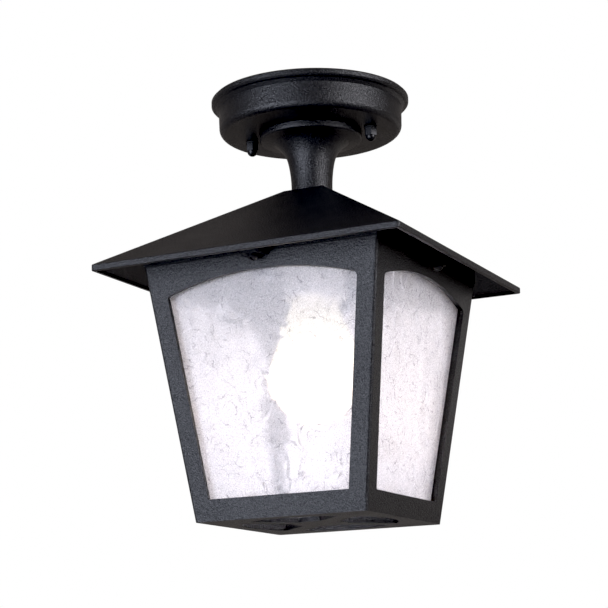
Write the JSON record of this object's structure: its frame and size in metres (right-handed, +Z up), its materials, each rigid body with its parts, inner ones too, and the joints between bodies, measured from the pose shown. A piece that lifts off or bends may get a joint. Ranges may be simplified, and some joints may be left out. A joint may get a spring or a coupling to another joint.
{
  "type": "porch ceiling lantern",
  "caption": "Square tapered porch lantern with arched hammered-glass windows under a hipped roof, held close to the ceiling by a short flared stem and a round canopy.",
  "frame": {"origin": "centre of the ceiling screw pattern, on the ceiling plane", "axes": "+Z up into the ceiling; the cage's walls face -Y (front), +X, +Y and -X"},
  "size_m": [0.2036, 0.2036, 0.2725],
  "materials": {
    "cast_black": "die-cast, fine-grained black powder coat, satin",
    "pressed_black": "smooth black powder coat, satin",
    "nut_black": "glossy black",
    "zinc": "bright zinc plate",
    "earth_brass": "plain brass",
    "seal_rubber": "matte black",
    "hammered_glass": "clear hammered glass, wavy outside, smooth inside",
    "holder_plastic": "moulded white thermoset",
    "holder_ceramic": "unglazed steatite",
    "block_plastic": "natural polyamide",
    "lamp_glass": "opal white, lit",
    "lamp_cap": "bright rolled",
    "lamp_insulator": "black vitrite",
    "wire_brown": "brown insulation",
    "wire_blue": "blue insulation",
    "wire_green": "green and yellow insulation"
  },
  "bodies": {
    "ceiling_mount": {"mounting_strap": "zinc", "strap_studs": "zinc", "strap_lock_nuts": "zinc"},
    "fitting": {"ceiling_canopy": "pressed_black", "canopy_washers": "seal_rubber", "stem": "cast_black", "threaded_tube": "zinc", "tube_bush": "block_plastic", "tube_washer_top": "zinc", "tube_nut_top": "zinc", "tube_washer_bottom": "zinc", "tube_nut_bottom": "zinc", "terminal_block": "block_plastic", "terminal_clamp_screws": "zinc", "terminal_block_screws": "zinc", "earth_screw": "earth_brass", "wire_live": "wire_brown", "wire_neutral": "wire_blue", "wire_earth": "wire_green", "roof": "cast_black", "roof_gasket": "seal_rubber", "lampholder_cap": "holder_plastic", "lampholder_insert": "holder_ceramic", "lampholder_barrel": "holder_plastic", "lampholder_shell": "earth_brass", "lampholder_contact": "earth_brass", "lampholder_terminals": "earth_brass"},
    "lamp": {"lamp_glass": "lamp_glass", "lamp_cap": "lamp_cap", "lamp_insulator": "lamp_insulator", "lamp_contact": "lamp_cap"},
    "cage": {"cage": "cast_black", "glass_pane_front": "hammered_glass", "glass_pane_right": "hammered_glass", "glass_pane_back": "hammered_glass", "glass_pane_left": "hammered_glass", "glass_seals": "seal_rubber", "pane_clips": "zinc", "pane_clip_screws": "zinc", "lug_washers": "nut_black"},
    "nut_left": {"canopy_nut_left": "nut_black"},
    "nut_right": {"canopy_nut_right": "nut_black"},
    "screw_front": {"retaining_screw_front": "nut_black"},
    "screw_right": {"retaining_screw_right": "nut_black"},
    "screw_back": {"retaining_screw_back": "nut_black"},
    "screw_left": {"retaining_screw_left": "nut_black"}
  },
  "joints": [
    {"name": "fitting_lower", "type": "slide", "parent": "ceiling_mount", "child": "fitting", "axis": [0, 0, -1], "range_m": [0, 0.035]},
    {"name": "cage_lower", "type": "slide", "parent": "fitting", "child": "cage", "axis": [0, 0, -1], "range_m": [0, 0.12]},
    {"name": "lamp_turn", "type": "hinge", "parent": "fitting", "child": "lamp", "pos_m": [0, 0, -0.12], "axis": [0, 0, 1], "continuous": true},
    {"name": "nut_left_turn", "type": "hinge", "parent": "fitting", "child": "nut_left", "pos_m": [-0.04016, -0.00443, -0.0272], "axis": [0, 0, 1], "continuous": true},
    {"name": "nut_right_turn", "type": "hinge", "parent": "fitting", "child": "nut_right", "pos_m": [0.04016, 0.00443, -0.0272], "axis": [0, 0, 1], "continuous": true},
    {"name": "screw_front_turn", "type": "hinge", "parent": "cage", "child": "screw_front", "pos_m": [0, -0.0834, -0.118], "axis": [0, 0, 1], "continuous": true},
    {"name": "screw_right_turn", "type": "hinge", "parent": "cage", "child": "screw_right", "pos_m": [0.0834, 0, -0.118], "axis": [0, 0, 1], "continuous": true},
    {"name": "screw_back_turn", "type": "hinge", "parent": "cage", "child": "screw_back", "pos_m": [0, 0.0834, -0.118], "axis": [0, 0, 1], "continuous": true},
    {"name": "screw_left_turn", "type": "hinge", "parent": "cage", "child": "screw_left", "pos_m": [-0.0834, 0, -0.118], "axis": [0, 0, 1], "continuous": true}
  ]
}
